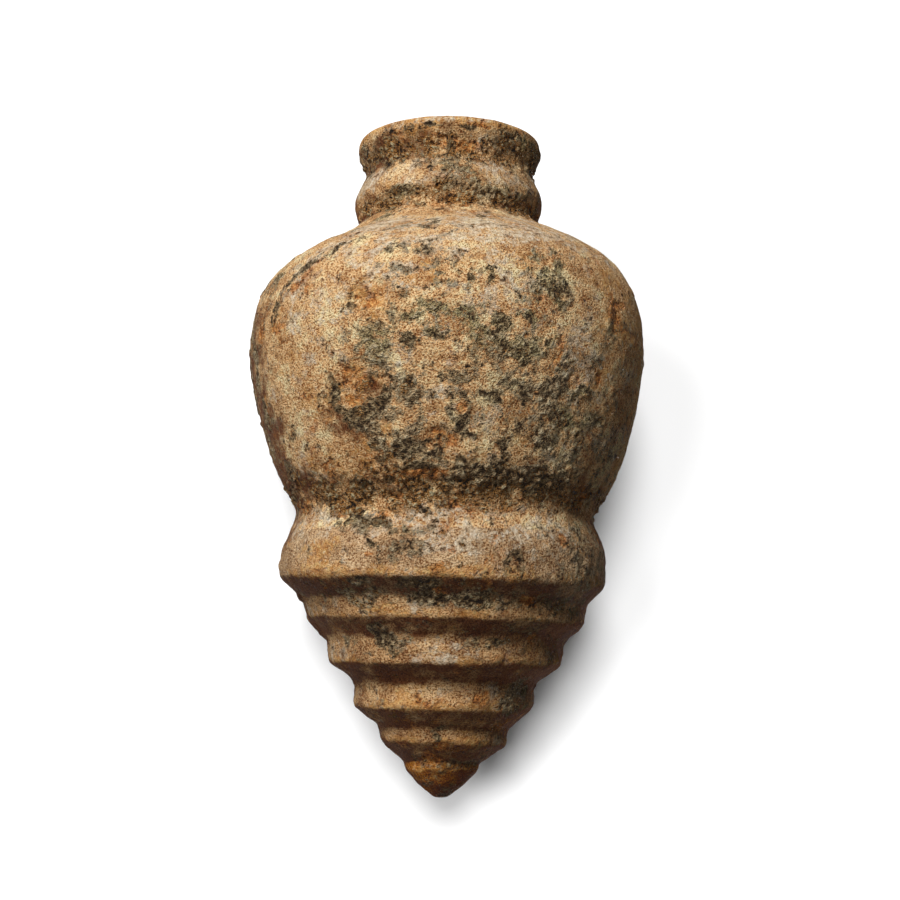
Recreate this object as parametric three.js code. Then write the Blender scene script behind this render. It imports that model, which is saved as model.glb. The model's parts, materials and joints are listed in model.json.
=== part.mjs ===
// A ribbed terracotta flask lying on its side, as eleven clay sections luted end to end.
// Lengths are in millimetres. Heights are measured along the vessel's own axis, up from the tip.
import * as THREE from 'three';

// Heights of the sections, from the tip to the mouth
const tipHeight = 7.0;
const footRingHeights = [7.4, 10.2, 9.6, 8.4]; // smallest ring first
const flaredBandHeight = 14.6;
const waistCoilHeight = 9.0;
const bowlHeight = 33.1;
const shoulderHeight = 30.5;
const neckBeadHeight = 12.2;
const neckCollarHeight = 8.0;

// Outer radii
const tipKnobRadius = 8.1;
const footGrooveRadii = [8.2, 14.2, 20.0, 26.6]; // hollow under each ring
const footEdgeRadii = [14.1, 20.3, 26.2, 31.1]; // lower edge of each ring
const bandGrooveRadius = 32.0;
const bandEdgeRadius = 36.8;
const bandTopRadius = 36.5;
const waistRadius = 33.3;
const bowlStartRadius = 36.0;
const bodyRadius = 45.4;
const neckRootRadius = 20.7;
const neckBeadRadius = 22.0;
const neckWaistRadius = 19.1;
const lipRadius = 21.3;

// Heights of single features above the seam of their section
const tipKnobHeight = 4.9;
const footUndercutHeights = [4.4, 4.8, 4.1, 4.0];
const bandUndercutHeight = 4.3;
const bandBellyHeight = 7.0; // from the band's lower edge to where it draws in
const neckBeadRise = 5.8;
const lipFaceHeight = 2.6;

// Rounding of edges and hollows
const noseRounding = 2.0;
const knobRounding = 2.0;
const edgeRounding = 2.8;
const grooveRounding = 4.4;
const bandTopRounding = 6.0;
const waistRounding = 7.0;
const beadRounding = 5.0;
const neckWaistRounding = 5.0;
const lipRounding = 2.3;

// Hollow inside: it follows the outside, a wall's thickness in
const cavityFloorHeight = 21.0;
const cavityFloorRadius = 8.0;
const footWall = 7.0;
const waistWall = 6.8;
const bodyWall = 6.4;
const shoulderWall = 5.6;
const neckBoreRadius = 13.0;
const floorRounding = 6.0;
const mouthRounding = 1.6;

// Seams: each face climbs towards the inside, and the slip that bonds it fills the gap
const slipGap = 0.3;
const scarfRise = 2.4;
const padRise = 1.0; // where the seam crosses solid clay

// Handles of the belly's and the shoulder's curves, as shares of each curve's height and spread
const bowlHandleShares = { out: 0.43, up: 0.13, end: 0.26 };
const shoulderHandleShares = { start: 0.77, out: 0.33, down: 0.31 };

// Fineness of the turned shapes
const facets = 48;
const arcStep = THREE.MathUtils.degToRad(17);
const outerCurveSteps = 11;
const innerCurveSteps = 8;
const mouthSteps = 4;
const shortestEdge = 0.3;

// Heights of the seams, found by adding up the sections
const footSeams = [tipHeight];
footRingHeights.forEach((height, i) => footSeams.push(footSeams[i] + height));
const bandSeam = footSeams[footRingHeights.length];
const bandEdgeHeight = bandSeam + bandUndercutHeight;
const waistSeam = bandSeam + flaredBandHeight;
const waistHeight = waistSeam + waistCoilHeight / 2;
const bowlSeam = waistSeam + waistCoilHeight;
const widestSeam = bowlSeam + bowlHeight;
const neckSeam = widestSeam + shoulderHeight;
const collarSeam = neckSeam + neckBeadHeight;
const mouthHeight = collarSeam + neckCollarHeight;

const corner = (radius, height, rounding = 0) => ({ at: new THREE.Vector2(radius, height), rounding });

// Straight runs between corners, with a bend in place of each corner that has a rounding.
// The bend touches both runs where an arc of that radius would, or half way along the shorter.
function roundedRun(corners) {
  return corners.flatMap(({ at, rounding }, i) => {
    if (rounding === 0) return [at.clone()];
    const back = corners[i - 1].at.clone().sub(at);
    const ahead = corners[i + 1].at.clone().sub(at);
    const turn = Math.PI - back.angleTo(ahead);
    const room = Math.min(back.length(), ahead.length()) / 2;
    const reach = Math.min(rounding * Math.tan(turn / 2), room);
    const start = at.clone().addScaledVector(back.normalize(), reach);
    const end = at.clone().addScaledVector(ahead.normalize(), reach);
    const steps = Math.max(1, Math.round(turn / arcStep));
    return new THREE.QuadraticBezierCurve(start, at, end).getPoints(steps);
  });
}

// Rounded tip, then four rings: each slopes out to an edge, and its wall draws in to the next.
function footRun() {
  const tip = [
    corner(0, 0),
    corner(noseRounding, 0, noseRounding),
    corner(tipKnobRadius, tipKnobHeight, knobRounding),
  ];
  const rings = footEdgeRadii.flatMap((edgeRadius, i) => [
    corner(footGrooveRadii[i], footSeams[i], grooveRounding),
    corner(edgeRadius, footSeams[i] + footUndercutHeights[i], edgeRounding),
  ]);
  return [...tip, ...rings];
}

// Flared band with its sharp lower edge, and the hollow waist under the belly.
function bandRun() {
  return [
    corner(bandGrooveRadius, bandSeam, grooveRounding),
    corner(bandEdgeRadius, bandEdgeHeight, edgeRounding),
    corner(bandTopRadius, bandEdgeHeight + bandBellyHeight, bandTopRounding),
    corner(waistRadius, waistHeight, waistRounding),
    corner(bowlStartRadius, bowlSeam),
  ];
}

// Belly and shoulder: two curves that meet at the widest line, where both run along the axis.
function bodyCurves(startRadius, startHeight, widestRadius, endRadius, endHeight, steps) {
  const rise = widestSeam - startHeight;
  const spread = widestRadius - startRadius;
  const fall = endHeight - widestSeam;
  const draw = widestRadius - endRadius;
  const bowl = new THREE.CubicBezierCurve(
    new THREE.Vector2(startRadius, startHeight),
    new THREE.Vector2(startRadius + spread * bowlHandleShares.out, startHeight + rise * bowlHandleShares.up),
    new THREE.Vector2(widestRadius, widestSeam - rise * bowlHandleShares.end),
    new THREE.Vector2(widestRadius, widestSeam),
  );
  const shoulder = new THREE.CubicBezierCurve(
    new THREE.Vector2(widestRadius, widestSeam),
    new THREE.Vector2(widestRadius, widestSeam + fall * shoulderHandleShares.start),
    new THREE.Vector2(endRadius + draw * shoulderHandleShares.out, endHeight - fall * shoulderHandleShares.down),
    new THREE.Vector2(endRadius, endHeight),
  );
  return [...bowl.getPoints(steps), ...shoulder.getPoints(steps).slice(1)];
}

// Neck with its rounded bead, then the everted lip up to the flat rim.
function neckRun() {
  return [
    corner(neckRootRadius, neckSeam),
    corner(neckBeadRadius, neckSeam + neckBeadRise, beadRounding),
    corner(neckWaistRadius, collarSeam, neckWaistRounding),
    corner(lipRadius, mouthHeight - lipFaceHeight, lipRounding),
    corner(lipRadius, mouthHeight, lipRounding),
    corner(neckBoreRadius + mouthRounding, mouthHeight),
  ];
}

const outerOutline = [
  ...roundedRun([...footRun(), ...bandRun()]),
  ...bodyCurves(bowlStartRadius, bowlSeam, bodyRadius, neckRootRadius, neckSeam, outerCurveSteps).slice(1),
  ...roundedRun(neckRun()).slice(1),
];

// Inside, from the middle of the floor up to the mouth.
function innerRun() {
  const cone = roundedRun([
    corner(0, cavityFloorHeight),
    corner(cavityFloorRadius, cavityFloorHeight, floorRounding),
    corner(bandGrooveRadius - footWall, bandSeam, bandTopRounding),
    corner(waistRadius - waistWall, waistHeight, waistRounding),
    corner(bowlStartRadius - waistWall, bowlSeam),
  ]);
  const start = cone.at(-1);
  const belly = bodyRadius - bodyWall;
  const body = bodyCurves(start.x, start.y, belly, neckBoreRadius, neckSeam - shoulderWall, innerCurveSteps);
  const mouth = new THREE.QuadraticBezierCurve(
    new THREE.Vector2(neckBoreRadius, mouthHeight - mouthRounding),
    new THREE.Vector2(neckBoreRadius, mouthHeight),
    new THREE.Vector2(neckBoreRadius + mouthRounding, mouthHeight),
  );
  return [...cone, ...body.slice(1), ...mouth.getPoints(mouthSteps)];
}
const innerOutline = innerRun();

// Radius of an outline at a height, on the straight piece that spans it.
function radiusAt(outline, height) {
  const next = outline.findIndex(({ y }, i) => i > 0 && y >= height);
  const low = outline[next - 1];
  const high = outline[next];
  return THREE.MathUtils.mapLinear(height, low.y, high.y, low.x, high.x);
}

// The stretch of an outline between two cuts, each of them a height or null for the outline's own end.
function stretch(outline, from, to) {
  const cut = (height) => (height === null ? [] : [new THREE.Vector2(radiusAt(outline, height), height)]);
  const kept = outline.filter(({ y }) => {
    const pastStart = from === null || y > from + shortestEdge;
    return pastStart && (to === null || y < to - shortestEdge);
  });
  return [...cut(from), ...kept, ...cut(to)];
}

// One section as a closed profile: up the outside, in along its upper seam, down the inside and
// out along its lower seam. Below the floor of the hollow it is solid and closes on the axis.
// A seam is a height on the outside and how far its face climbs from there to the inside.
function sectionProfile(lower, upper) {
  const low = lower ? lower.height + slipGap / 2 : null;
  const high = upper ? upper.height - slipGap / 2 : null;
  const lowInside = lower ? low + lower.rise : 0;
  const highInside = upper ? high + upper.rise : mouthHeight;
  const outside = stretch(outerOutline, low, high);
  const foot = lower ? [new THREE.Vector2(0, lowInside)] : [];
  if (highInside < cavityFloorHeight) return [...foot, ...outside, new THREE.Vector2(0, highInside)];
  if (lowInside < cavityFloorHeight) {
    return [...foot, ...outside, ...stretch(innerOutline, null, highInside).reverse()];
  }
  const inside = stretch(innerOutline, lowInside, upper ? highInside : null).reverse();
  const shared = upper ? 0 : 1; // the rim's inner edge belongs to both outlines
  return [...outside, ...inside.slice(shared), outside[0].clone()];
}

// Seams from the tip to the mouth. The two lowest cross solid clay.
const seams = [
  { height: footSeams[0], rise: padRise },
  { height: footSeams[1], rise: padRise },
  { height: footSeams[2], rise: scarfRise },
  { height: footSeams[3], rise: scarfRise },
  { height: bandSeam, rise: scarfRise },
  { height: waistSeam, rise: scarfRise },
  { height: bowlSeam, rise: scarfRise },
  { height: widestSeam, rise: scarfRise },
  { height: neckSeam, rise: scarfRise },
  { height: collarSeam, rise: scarfRise },
];

// Sections from the tip to the mouth, with the colour that the weathered clay has there
const sections = [
  { name: 'tip_cone', color: 0x8f5d33, roughness: 0.88 },
  { name: 'foot_ring_1', color: 0x86603a, roughness: 0.9 },
  { name: 'foot_ring_2', color: 0x80613f, roughness: 0.9 },
  { name: 'foot_ring_3', color: 0x786046, roughness: 0.92 },
  { name: 'foot_ring_4', color: 0x6c533b, roughness: 0.94 },
  { name: 'flared_band', color: 0x8f7458, roughness: 0.92 },
  { name: 'waist_coil', color: 0x5f4a37, roughness: 0.96 },
  { name: 'body_bowl', color: 0x9a7b54, roughness: 0.92 },
  { name: 'shoulder_dome', color: 0xa28157, roughness: 0.92 },
  { name: 'neck_bead', color: 0x65502f, roughness: 0.94 },
  { name: 'neck_collar', color: 0x745a3c, roughness: 0.94 },
];

// Height of the centre of mass, from the volume that each straight piece of a profile sweeps.
function massCentreHeight(profiles) {
  let volume = 0;
  let moment = 0;
  profiles.forEach((profile) => profile.slice(1).forEach((end, i) => {
    const start = profile[i];
    const rise = end.y - start.y;
    const step = end.x - start.x;
    const swept = rise * (start.x ** 2 + start.x * step + step ** 2 / 3);
    volume += swept;
    moment += start.y * swept + rise ** 2 * (start.x ** 2 / 2 + (2 * start.x * step) / 3 + step ** 2 / 4);
  }));
  return moment / volume;
}

// How far the axis tips down towards the foot when the vessel lies on two of its rings: the piece
// of the outline's convex hull that the centre of mass stands over is the line on the table.
function restingTilt(outline, centreHeight) {
  const hull = [];
  outline.forEach((point) => {
    const sags = () => {
      const [a, b] = hull.slice(-2);
      return (b.x - a.x) * (point.y - a.y) <= (point.x - a.x) * (b.y - a.y);
    };
    while (hull.length > 1 && sags()) hull.pop();
    hull.push(point);
  });
  const centre = new THREE.Vector2(0, centreHeight);
  const rest = hull.findIndex((end, i) => {
    if (i === 0) return false;
    const start = hull[i - 1];
    const along = end.clone().sub(start);
    return centre.clone().sub(start).dot(along) > 0 && centre.clone().sub(end).dot(along) <= 0;
  });
  const flat = Math.cos(Math.PI / facets); // facets lie this much nearer the axis than their edges
  const { x, y } = hull[rest].clone().sub(hull[rest - 1]);
  return Math.atan2(x * flat, y);
}

const profiles = sections.map((section, i) => sectionProfile(seams[i - 1], seams[i]));
const vessel = new THREE.Group();
sections.forEach(({ name, color, roughness }, i) => {
  const clay = new THREE.MeshStandardMaterial({ color, roughness, metalness: 0 });
  const turned = new THREE.LatheGeometry(profiles[i], facets, Math.PI / facets);
  const piece = new THREE.Mesh(turned, clay);
  piece.name = name;
  vessel.add(piece);
});

// Laid on the table with the mouth towards +Y, and the origin under the middle of its extent.
vessel.rotation.x = restingTilt(outerOutline, massCentreHeight(profiles));
const extent = new THREE.Box3().setFromObject(vessel, true);
const middle = extent.getCenter(new THREE.Vector3());
vessel.position.set(-middle.x, -middle.y, -extent.min.z);

const flask = new THREE.Group();
flask.add(vessel);

export default flask;
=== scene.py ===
"""A weathered terracotta flask lying on its side: eleven clay sections with crust, grit, stains and wear.

The clay is worked out in the vessel's own frame, in millimetres: x to the right, the height up the axis
from the tip, and the depth towards the viewer. It is turned into the model's frame in metres at the end.
"""
import itertools
import json
import math
import zlib

import bpy
import numpy as np
from mathutils import Matrix, Vector


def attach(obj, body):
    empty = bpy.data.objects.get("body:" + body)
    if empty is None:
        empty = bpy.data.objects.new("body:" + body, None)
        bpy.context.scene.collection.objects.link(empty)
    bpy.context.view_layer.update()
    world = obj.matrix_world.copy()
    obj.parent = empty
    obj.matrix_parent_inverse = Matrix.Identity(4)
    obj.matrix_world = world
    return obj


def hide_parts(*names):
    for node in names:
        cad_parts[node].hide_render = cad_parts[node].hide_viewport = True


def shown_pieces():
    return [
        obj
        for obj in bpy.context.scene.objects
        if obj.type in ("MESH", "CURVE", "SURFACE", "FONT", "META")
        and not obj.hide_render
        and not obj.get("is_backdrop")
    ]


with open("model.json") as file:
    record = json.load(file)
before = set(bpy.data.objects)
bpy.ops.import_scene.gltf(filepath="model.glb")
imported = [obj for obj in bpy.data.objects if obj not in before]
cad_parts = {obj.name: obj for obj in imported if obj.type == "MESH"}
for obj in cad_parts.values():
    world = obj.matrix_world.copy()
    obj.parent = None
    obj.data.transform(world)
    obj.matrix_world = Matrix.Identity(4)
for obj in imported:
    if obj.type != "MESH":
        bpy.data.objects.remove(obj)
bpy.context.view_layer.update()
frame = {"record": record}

MM = 0.001

# Sizes of the turned outline in millimetres. Seams and the mouth are heights up the axis from the tip

foot_seams = (7.0, 14.4, 24.6, 34.2)
band_seam = 42.6
waist_seam = 57.2
bowl_seam = 66.2
widest_seam = 99.3
neck_seam = 129.8
collar_seam = 142.0
mouth_height = 150.0

# Corners of the tip's dome, each a radius, a height and a rounding
tip_dome = ((0, 0, 0), (1.2, 0, 1.6), (5.0, 2.45, 9.0), (8.05, 5.6, 3.2))
groove_radii = (8.2, 14.2, 20.0, 26.6)
edge_radii = (14.1, 20.3, 26.2, 31.1)
undercuts = (4.4, 4.8, 4.1, 4.0)
groove_rounding = 4.4
edge_rounding = 2.8
band_groove_radius = 32.0
band_edge_radius = 36.8
band_top_radius = 36.5
band_undercut = 4.3
band_belly = 7.0
band_top_rounding = 6.0
waist_radius = 33.3
waist_height = 61.7
waist_rounding = 7.0
bowl_start_radius = 36.0
body_radius = 45.4
neck_root_radius = 20.7
bead_radius = 22.0
bead_rise = 5.8
bead_rounding = 5.0
neck_waist_radius = 19.1
lip_radius = 21.3
lip_face = 2.6
lip_rounding = 2.3
bowl_handles = (0.43, 0.13, 0.26)  # out, up and end, as shares of the belly's spread and rise
shoulder_handles = (0.77, 0.33, 0.31)  # start, out and down, as shares of the fall, draw and fall

# The hollow inside

cavity_floor = (8.0, 21.0)  # radius and height
foot_wall = 7.0
waist_wall = 6.8
body_wall = 6.4
shoulder_wall = 5.6
bore_radius = 13.0
floor_rounding = 6.0
mouth_rounding = 1.6
scarf_rise = 2.4
pad_rise = 1.0

# Fineness of the clay's surface

COLUMNS = 720
BEND_STEPS = 10
CURVE_STEPS = 60
SEAM_STEPS = 6
UV_NAME = "OFBake"

# Place of the vessel: its axis comes from the rim's mount, and the tip lies one vessel length below it

rim = frame["record"]["mounts"][0]
AXIS = Vector(rim["axis"]).normalized()
TOWARDS = Vector((0, -AXIS.z, AXIS.y))  # square to the axis, away from the floor
ACROSS = Vector((1, 0, 0))
rim_land_radius = 17.0
TIP = Vector(rim["pos_m"]) - TOWARDS * (rim_land_radius * MM) - AXIS * (mouth_height * MM)


def world_point(across, height, depth):
    """The point in the model's frame, in metres, that lies at that place in the vessel's frame."""
    return TIP + (ACROSS * across + AXIS * height + TOWARDS * depth) * MM


def smooth_step(low, high, value):
    """0 below low and 1 above high, joined by 3t^2 - 2t^3; low may be the larger, which turns it round."""
    share = np.clip((value - low) / (high - low), 0, 1)
    return share * share * (3 - 2 * share)


# The outline of the clay, up the outside, over the rim and down the inside

def rounded_run(corners):
    """Straight runs between corners of (radius, height, rounding). A rounded corner becomes a quadratic
    curve from where an arc of that radius would touch one run, to where it would touch the other, or to
    half way along the shorter run."""
    points = []
    for i, (radius, height, rounding) in enumerate(corners):
        at = np.array((radius, height))
        if not rounding:
            points.append(at)
            continue
        back = np.array(corners[i - 1][:2]) - at
        ahead = np.array(corners[i + 1][:2]) - at
        lengths = np.hypot(*back), np.hypot(*ahead)
        turn = math.pi - math.acos(np.dot(back, ahead) / (lengths[0] * lengths[1]))
        reach = min(rounding * math.tan(turn / 2), min(lengths) / 2)
        start = at + back / lengths[0] * reach
        end = at + ahead / lengths[1] * reach
        t = np.linspace(0, 1, BEND_STEPS + 1)[:, None]
        points.extend((1 - t) ** 2 * start + 2 * t * (1 - t) * at + t ** 2 * end)
    return points


def cubic_curve(a, b, c, d):
    """Cubic Bezier curve through a and d with handles b and c, at evenly spaced parameters."""
    t = np.linspace(0, 1, CURVE_STEPS + 1)[:, None]
    a, b, c, d = (np.array(p) for p in (a, b, c, d))
    return list((1 - t) ** 3 * a + 3 * t * (1 - t) ** 2 * b + 3 * t ** 2 * (1 - t) * c + t ** 3 * d)


def body_curves(start, widest, end):
    """Belly and shoulder: two cubic curves that meet at the widest seam, both along the axis there."""
    out, up, hold = bowl_handles
    rise, spread = widest_seam - start[1], widest - start[0]
    bowl = cubic_curve(
        start,
        (start[0] + spread * out, start[1] + rise * up),
        (widest, widest_seam - rise * hold),
        (widest, widest_seam),
    )
    hold, out, down = shoulder_handles
    fall, draw = end[1] - widest_seam, widest - end[0]
    shoulder = cubic_curve(
        (widest, widest_seam),
        (widest, widest_seam + fall * hold),
        (end[0] + draw * out, end[1] - fall * down),
        end,
    )
    return bowl + shoulder[1:]


def outer_outline():
    """Tip, rings, flared band, waist, belly, shoulder, neck bead and lip, up to the rim's inner edge."""
    foot = list(tip_dome)
    for groove, edge, seam, undercut in zip(groove_radii, edge_radii, foot_seams, undercuts):
        foot += [(groove, seam, groove_rounding), (edge, seam + undercut, edge_rounding)]
    band_edge_height = band_seam + band_undercut
    foot += [
        (band_groove_radius, band_seam, groove_rounding),
        (band_edge_radius, band_edge_height, edge_rounding),
        (band_top_radius, band_edge_height + band_belly, band_top_rounding),
        (waist_radius, waist_height, waist_rounding),
        (bowl_start_radius, bowl_seam, 0),
    ]
    body = body_curves((bowl_start_radius, bowl_seam), body_radius, (neck_root_radius, neck_seam))
    neck = rounded_run([
        (neck_root_radius, neck_seam, 0),
        (bead_radius, neck_seam + bead_rise, bead_rounding),
        (neck_waist_radius, collar_seam, bead_rounding),
        (lip_radius, mouth_height - lip_face, lip_rounding),
        (lip_radius, mouth_height, lip_rounding),
        (bore_radius + mouth_rounding, mouth_height, 0),
    ])
    return rounded_run(foot) + body[1:] + neck[1:]


def inner_outline():
    """From the middle of the hollow's floor up to the bore and round to the rim's inner edge."""
    cone = rounded_run([
        (0, cavity_floor[1], 0),
        (*cavity_floor, floor_rounding),
        (band_groove_radius - foot_wall, band_seam, band_top_rounding),
        (waist_radius - waist_wall, waist_height, waist_rounding),
        (bowl_start_radius - waist_wall, bowl_seam, 0),
    ])
    body = body_curves(cone[-1], body_radius - body_wall, (bore_radius, neck_seam - shoulder_wall))
    mouth = rounded_run([
        (bore_radius, neck_seam - shoulder_wall, 0),
        (bore_radius, mouth_height, mouth_rounding),
        (bore_radius + mouth_rounding, mouth_height, 0),
    ])
    return cone + body[1:] + mouth[1:]


# Seams from the tip to the mouth, each a height outside and a height inside
# The first two cross solid clay and end on the axis
SEAMS = [(height, height + pad_rise) for height in foot_seams[:2]]
SEAMS += [
    (height, height + scarf_rise)
    for height in (*foot_seams[2:], band_seam, waist_seam, bowl_seam, widest_seam, neck_seam, collar_seam)
]
SOLID_SEAMS = 2
NAMES = (
    "tip_cone", "foot_ring_1", "foot_ring_2", "foot_ring_3", "foot_ring_4", "flared_band",
    "waist_coil", "body_bowl", "shoulder_dome", "neck_bead", "neck_collar",
)
# Rows' steps in millimetres, outside from the tip to the mouth and inside from the floor to the mouth
OUTER_STEPS = (0.34,) * 5 + (0.36, 0.36, 0.42, 0.47, 0.34, 0.34)
INNER_STEPS = (1.6,) * 6 + (1.4, 1.0, 0.5)


def skin_rows():
    """The outline resampled row by row, at each section's own step, with a row exactly on each seam.
    Gives the rows' (radius, height), their outward normals and the row numbers of the seams."""
    outer = np.array(outer_outline())
    inner = np.array(inner_outline())[::-1]
    line = np.vstack((outer, inner[1:]))
    length = np.concatenate(([0], np.cumsum(np.hypot(*np.diff(line, axis=0).T))))
    rim_at = len(outer) - 1

    def where(heights, first, last, direction):
        """Lengths along the line at which that part of it, which climbs or falls, reaches the heights."""
        part = slice(first, last)
        return np.interp(np.array(heights) * direction, line[part, 1] * direction, length[part])

    outside = where([low for low, _ in SEAMS], 0, rim_at + 1, 1)
    inside = where([high for _, high in SEAMS[SOLID_SEAMS:]][::-1], rim_at, len(line), -1)
    stops = np.concatenate(([0], outside, [length[rim_at]], inside, [length[-1]]))
    steps = OUTER_STEPS + INNER_STEPS[::-1]
    stations, marks = [], []
    for start, end, step in zip(stops[:-1], stops[1:], steps):
        marks.append(len(stations))
        stations.extend(np.linspace(start, end, max(2, round((end - start) / step)) + 1)[:-1])
    marks.append(len(stations) - 1)
    stations = np.array(stations[1:])  # the first lies on the axis, where a single point closes the tip
    marks = [0] + [mark - 1 for mark in marks[1:]]
    rows = np.column_stack([np.interp(stations, length, line[:, k]) for k in range(2)])
    along = np.gradient(rows, stations, axis=0)
    along /= np.hypot(*along.T)[:, None]
    normals = np.column_stack((along[:, 1], -along[:, 0]))
    return rows, normals, marks


ROWS, ROW_NORMALS, MARKS = skin_rows()
RIM_ROW = MARKS[len(OUTER_STEPS)]
azimuth_line = (np.arange(COLUMNS) / COLUMNS * 2 - 1) * math.pi
HEIGHT = np.repeat(ROWS[:, 1:], COLUMNS, axis=1).astype(np.float32)
RADIUS = np.repeat(ROWS[:, :1], COLUMNS, axis=1).astype(np.float32)
AZIMUTH = np.repeat(azimuth_line[None], len(ROWS), axis=0).astype(np.float32)
SKIN = np.stack((RADIUS * np.sin(AZIMUTH), HEIGHT, RADIUS * np.cos(AZIMUTH)), axis=-1)
OUTSIDE = (np.arange(len(ROWS)) <= RIM_ROW).astype(np.float32)[:, None]


# Random fields over the skin, each with its own name as its seed

TURN = np.array(Matrix.Rotation(0.9, 3, Vector((1, 2, 3)).normalized()), np.float32)
PRIMES = (np.uint32(0x8DA6B343), np.uint32(0xD8163841), np.uint32(0xCB1AB31F))
SCRAMBLES = ((15, 0x2C1B3C6D), (12, 0x297A2D39))  # shift and factor
NOISE_SPREAD = 0.34  # standard deviation of one layer of blended lattice values


def scramble(mixed):
    """A random number from 0 to 1 for each whole number: shifts and products in 32 bits."""
    for shift, factor in SCRAMBLES:
        mixed = mixed ^ (mixed >> np.uint32(shift))
        mixed *= np.uint32(factor)
    mixed ^= mixed >> np.uint32(15)
    return mixed.astype(np.float32) * np.float32(2 ** -32)


def lattice(cells, seed):
    """One random number from 0 to 1 for each cell: its whole numbers times odd constants, scrambled."""
    x, y, z = (cells[..., k].astype(np.uint32) * prime for k, prime in enumerate(PRIMES))
    return scramble(x ^ y ^ z ^ np.uint32(seed))


def one_layer(points, size, seed):
    """Smooth random field: the lattice values at each cell's eight corners, blended by 3t^2 - 2t^3."""
    scaled = points / np.float32(size)
    floor = np.floor(scaled)
    share = scaled - floor
    share *= share * (3 - 2 * share)
    cells = floor.astype(np.int32).astype(np.uint32)
    sides = []
    for k, prime in enumerate(PRIMES):
        low = cells[..., k] * prime
        weight = np.ascontiguousarray(share[..., k])
        sides.append(((low, 1 - weight), (low + prime, weight)))
    total = np.zeros(points.shape[:-1], np.float32)
    for (x, near), (y, middle), (z, far) in itertools.product(*sides):
        total += near * middle * far * scramble(x ^ y ^ z ^ np.uint32(seed))
    return 2 * total - 1


def field(name, size, layers=3, fade=0.55, points=None):
    """Layered noise with a spread of about 1, whose largest blobs are size millimetres across. Each next
    layer is half as large and fade times as strong, on a lattice that is turned against the last."""
    points = SKIN if points is None else points
    total, power = 0, 0
    for layer in range(layers):
        seed = zlib.crc32(f"{name} {layer}".encode())
        strength = fade ** layer
        total = total + strength * one_layer(points, size / 2 ** layer, seed)
        power += strength ** 2
        points = points @ TURN
    return total / (NOISE_SPREAD * math.sqrt(power))


def grains(name, size, share, where):
    """Round grains: of the cubes of one size, a share hold a ball, whose radius is about a quarter to a half
    of the cube. The result is the ball's height from 0 to 1 at each skin point, by 1 - d^2, and 0 between
    balls or where the mask where is 0."""
    seed = zlib.crc32(name.encode())
    chosen = np.nonzero(where > 0)
    scaled = SKIN[chosen] / np.float32(size)
    cells = np.floor(scaled).astype(np.int32)
    best = np.zeros(len(scaled), np.float32)
    for step in itertools.product((-1, 0, 1), repeat=3):
        cell = cells + np.array(step, np.int32)
        centre = cell + np.stack([lattice(cell, seed + k) for k in (1, 2, 3)], axis=-1)
        ball = 0.25 + 0.3 * lattice(cell, seed + 4)
        distance = np.sqrt(((scaled - centre) ** 2).sum(-1))
        rise = np.clip(1 - (distance / ball) ** 2, 0, 1) * (lattice(cell, seed + 5) < share)
        best = np.maximum(best, rise)
    result = np.zeros(SKIN.shape[:2], np.float32)
    result[chosen] = best
    return result * where


WANDER = field("edges of patches", 3.2, layers=3, fade=0.7)


def ovals(places, span, wander=0.11):
    """For each place on the outer skin, the rows within span times its half height, there the distance from
    it in units of its half height and half width, and its strength. An oval turns by its slant in degrees,
    and its rim wanders."""
    for height, azimuth, tall, wide, strength, *rest in places:
        slant = rest[0] if rest else 0
        room = span * (max(tall, wide) if slant else tall)
        rows = slice(*np.searchsorted(ROWS[:RIM_ROW + 1, 1], (height - room, height + room)))
        along = HEIGHT[rows] - height
        turn = AZIMUTH[rows] - math.radians(azimuth)
        turn = turn - 2 * math.pi * np.rint(turn / (2 * math.pi))
        around = turn * RADIUS[rows]
        c, s = math.cos(math.radians(slant)), math.sin(math.radians(slant))
        across, up = around * c + along * s, along * c - around * s
        yield rows, np.hypot(across / wide, up / tall) + wander * WANDER[rows], strength


def patches(places, edge=0.3):
    """The strongest of several ovals at each point, from 0 to 1. Each fades over edge inside and outside its
    rim, as a share of its size."""
    total = np.zeros_like(HEIGHT)
    for rows, away, strength in ovals(places, 1.3 + edge):
        total[rows] = np.maximum(total[rows], strength * smooth_step(1 + edge, 1 - edge, away))
    return total


def rings(places):
    """Ring-shaped deposits: a bell-shaped ridge along each oval's rim, and the highest at each point."""
    width = 0.35  # as a share of the oval's size
    total = np.zeros_like(HEIGHT)
    for rows, away, strength in ovals(places, 2.2, wander=0.15):
        total[rows] = np.maximum(total[rows], strength * np.exp(-(((away - 1) / width) ** 2)))
    return total


# Regions and spots, each an oval: its height, azimuth in degrees, half height and half width in
# millimetres, strength, and for a tilted one its slant in degrees. Azimuth 0 faces the viewer and grows to
# the right, and past 90 degrees either way lies the far side

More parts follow.
